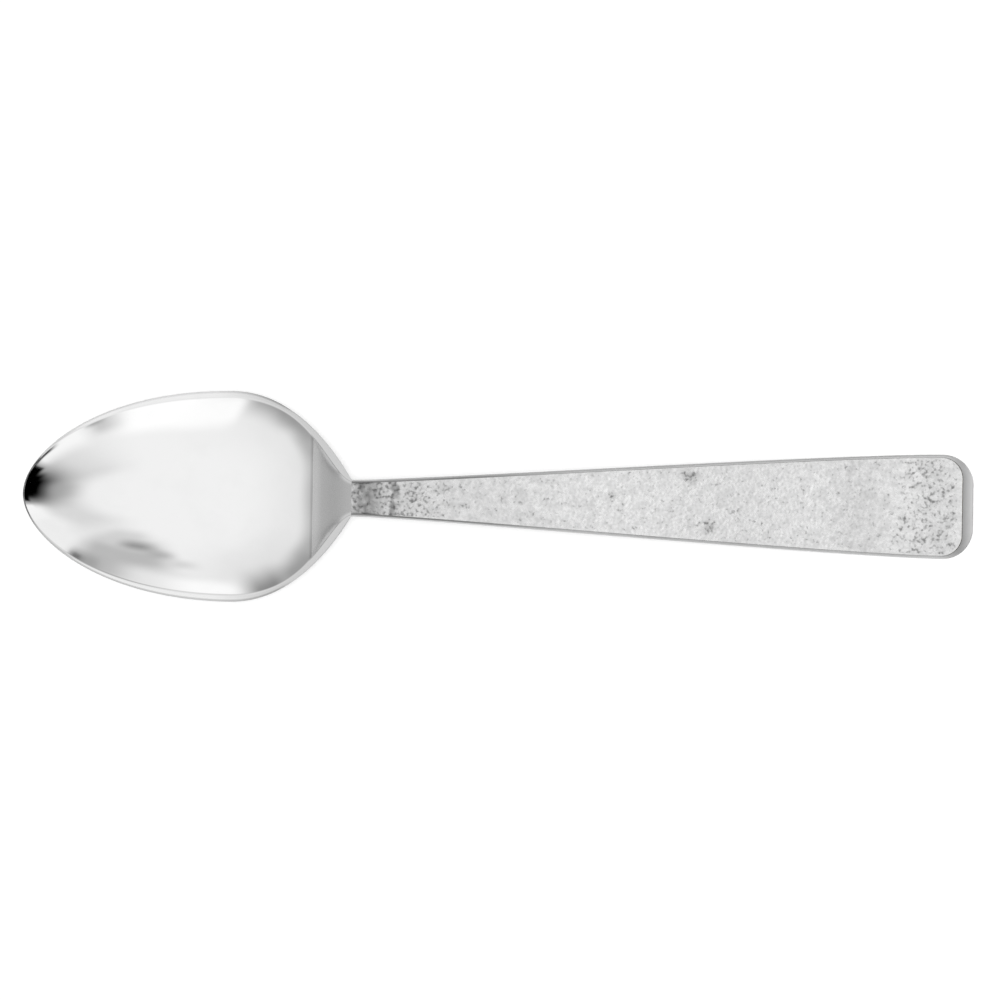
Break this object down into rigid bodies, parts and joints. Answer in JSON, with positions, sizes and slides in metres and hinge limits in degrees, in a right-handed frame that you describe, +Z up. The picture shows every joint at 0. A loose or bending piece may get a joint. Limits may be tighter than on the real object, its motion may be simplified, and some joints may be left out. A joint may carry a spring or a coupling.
{
  "type": "dinner spoon",
  "caption": "Dinner spoon with a pointed oval mirror-polished bowl, a slim neck and a flaring, arched handle with a stippled plate let into its top.",
  "frame": {"origin": "under the middle of the spoon's length and width, on the table that it lies on", "axes": "+X from the bowl's tip to the handle's end, +Y across, +Z up out of the bowl"},
  "size_m": [0.2, 0.0442, 0.0164],
  "materials": {
    "mirror_steel": "mirror-polished stainless steel",
    "polished_steel": "polished stainless steel",
    "stippled_steel": "fine satin stipple pressed into stainless steel",
    "braze": "dull pale silver braze metal"
  },
  "bodies": {
    "root": {"bowl": "mirror_steel", "handle_core": "polished_steel", "textured_panel": "stippled_steel", "tang_braze_sleeve": "braze", "panel_braze_foil": "braze"}
  },
  "joints": []
}
